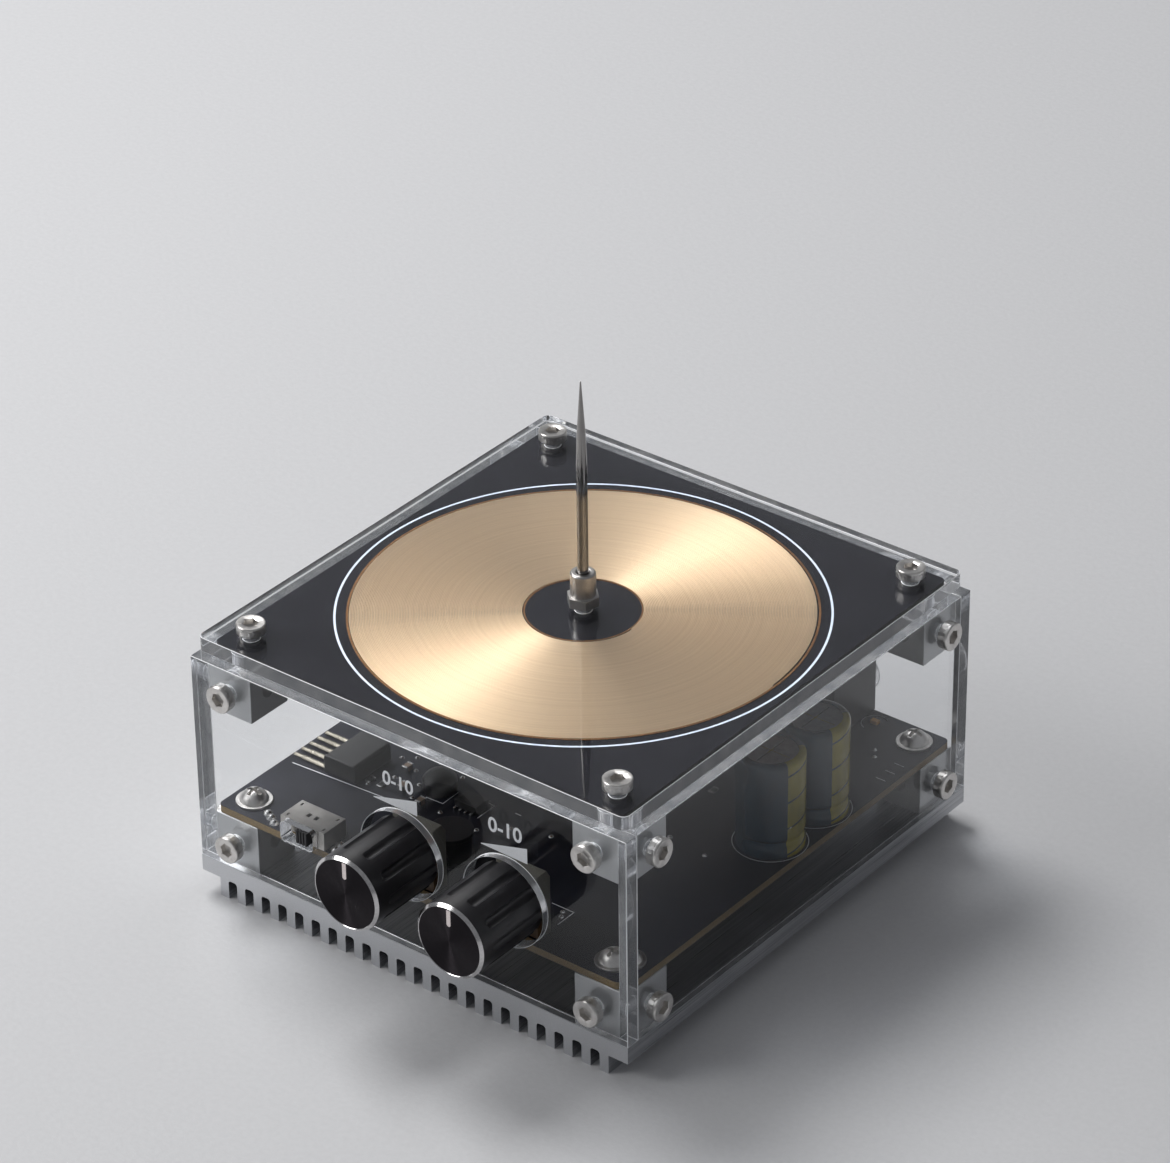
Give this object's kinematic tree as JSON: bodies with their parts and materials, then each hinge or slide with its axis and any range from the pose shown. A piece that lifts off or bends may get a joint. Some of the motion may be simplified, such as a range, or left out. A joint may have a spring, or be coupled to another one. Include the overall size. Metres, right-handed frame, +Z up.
{
  "type": "desktop resonant transformer",
  "caption": "Desktop resonant transformer: a flat spiral coil and upright discharge needle over a clear case on a finned base, with knobs and a switch.",
  "frame": {"origin": "centre of the finned base's underside, on the middle fin", "axes": "+Z up along the needle; -Y towards the side with the two knobs and the switch; +X to the right seen from that side"},
  "size_m": [0.104, 0.121, 0.1015],
  "materials": {
    "brushed_aluminium": "brushed lengthwise, clear anodised",
    "milled_aluminium": "matte milled faces",
    "clear_acrylic": "clear sheet with polished edges",
    "screw_steel": "bright stainless steel",
    "washer_steel": "bright stamped steel",
    "coil_board_black": "glossy black solder mask",
    "gold_track": "fine gold-plated copper track",
    "copper_track": "copper track",
    "brass": "turned brass",
    "nickel": "matte nickel plate",
    "polished_steel": "polished steel",
    "driver_board_dark": "dark grey solder mask with amber laminate edges",
    "solder": "bright tinned solder",
    "pot_grey": "grey moulded case",
    "wafer_brown": "brown phenolic laminate",
    "knob_black": "black anodised aluminium with a bright bevel",
    "black_plastic": "black moulded plastic",
    "switch_tin": "tinned sheet",
    "tray_brown": "brown laminate",
    "can_aluminium": "drawn can",
    "sleeve_teal": "dark teal shrink sleeve with an olive-gold stripe",
    "ceramic_brown": "ceramic with tinned ends",
    "resistor_black": "dark glaze with tinned ends",
    "led_amber": "amber lens",
    "tab_metal": "tinned copper tab",
    "pad_grey": "soft grey pad"
  },
  "bodies": {
    "case": {"heat_sink": "brushed_aluminium", "front_wall": "clear_acrylic", "rear_wall": "clear_acrylic", "left_wall": "clear_acrylic", "right_wall": "clear_acrylic", "lid": "clear_acrylic", "lower_cubes": "milled_aluminium", "upper_cubes": "milled_aluminium", "lid_screws": "screw_steel", "front_wall_screws": "screw_steel", "rear_wall_screws": "screw_steel", "left_wall_screws": "screw_steel", "right_wall_screws": "screw_steel", "base_screws": "screw_steel", "coil_board": "coil_board_black", "secondary_coil": "gold_track", "primary_coil": "copper_track", "coil_posts": "brass", "needle_socket": "nickel", "socket_nut": "nickel", "driver_board": "driver_board_dark", "board_screws": "screw_steel", "board_washers": "washer_steel", "board_solder": "solder", "power_pot_case": "pot_grey", "power_pot_wafer": "wafer_brown", "power_pot_bushing": "nickel", "frequency_pot_case": "pot_grey", "frequency_pot_wafer": "wafer_brown", "frequency_pot_bushing": "nickel", "pot_terminals": "solder", "switch_shell": "switch_tin", "switch_tray": "tray_brown", "capacitor_cans": "can_aluminium", "capacitor_sleeves": "sleeve_teal", "power_package": "black_plastic", "package_leads": "solder", "power_jack": "black_plastic", "jack_pin": "nickel", "dome_inductor": "black_plastic", "drum_choke": "black_plastic", "driver_chip": "black_plastic", "chip_pins": "solder", "small_capacitors": "ceramic_brown", "chip_resistors": "resistor_black", "status_led": "led_amber", "transistors": "black_plastic", "transistor_tabs": "tab_metal", "transistor_pads": "pad_grey", "transistor_screws": "screw_steel"},
    "power_knob": {"power_shaft": "nickel", "power_knob": "knob_black", "power_knob_insert": "black_plastic"},
    "frequency_knob": {"frequency_shaft": "nickel", "frequency_knob": "knob_black", "frequency_knob_insert": "black_plastic"},
    "switch_lever": {"switch_lever": "black_plastic"},
    "needle": {"discharge_needle": "polished_steel"}
  },
  "joints": [
    {"name": "power_knob_turn", "type": "hinge", "parent": "case", "child": "power_knob", "pos_m": [-0.0015, -0.052, 0.027], "axis": [0, 1, 0], "range_deg": [-150, 150]},
    {"name": "frequency_knob_turn", "type": "hinge", "parent": "case", "child": "frequency_knob", "pos_m": [0.0223, -0.052, 0.027], "axis": [0, 1, 0], "range_deg": [-150, 150]},
    {"name": "switch_slide", "type": "slide", "parent": "case", "child": "switch_lever", "axis": [-1, 0, 0], "range_m": [0, 0.002]},
    {"name": "needle_lift", "type": "slide", "parent": "case", "child": "needle", "axis": [0, 0, 1], "range_m": [0, 0.006]}
  ]
}
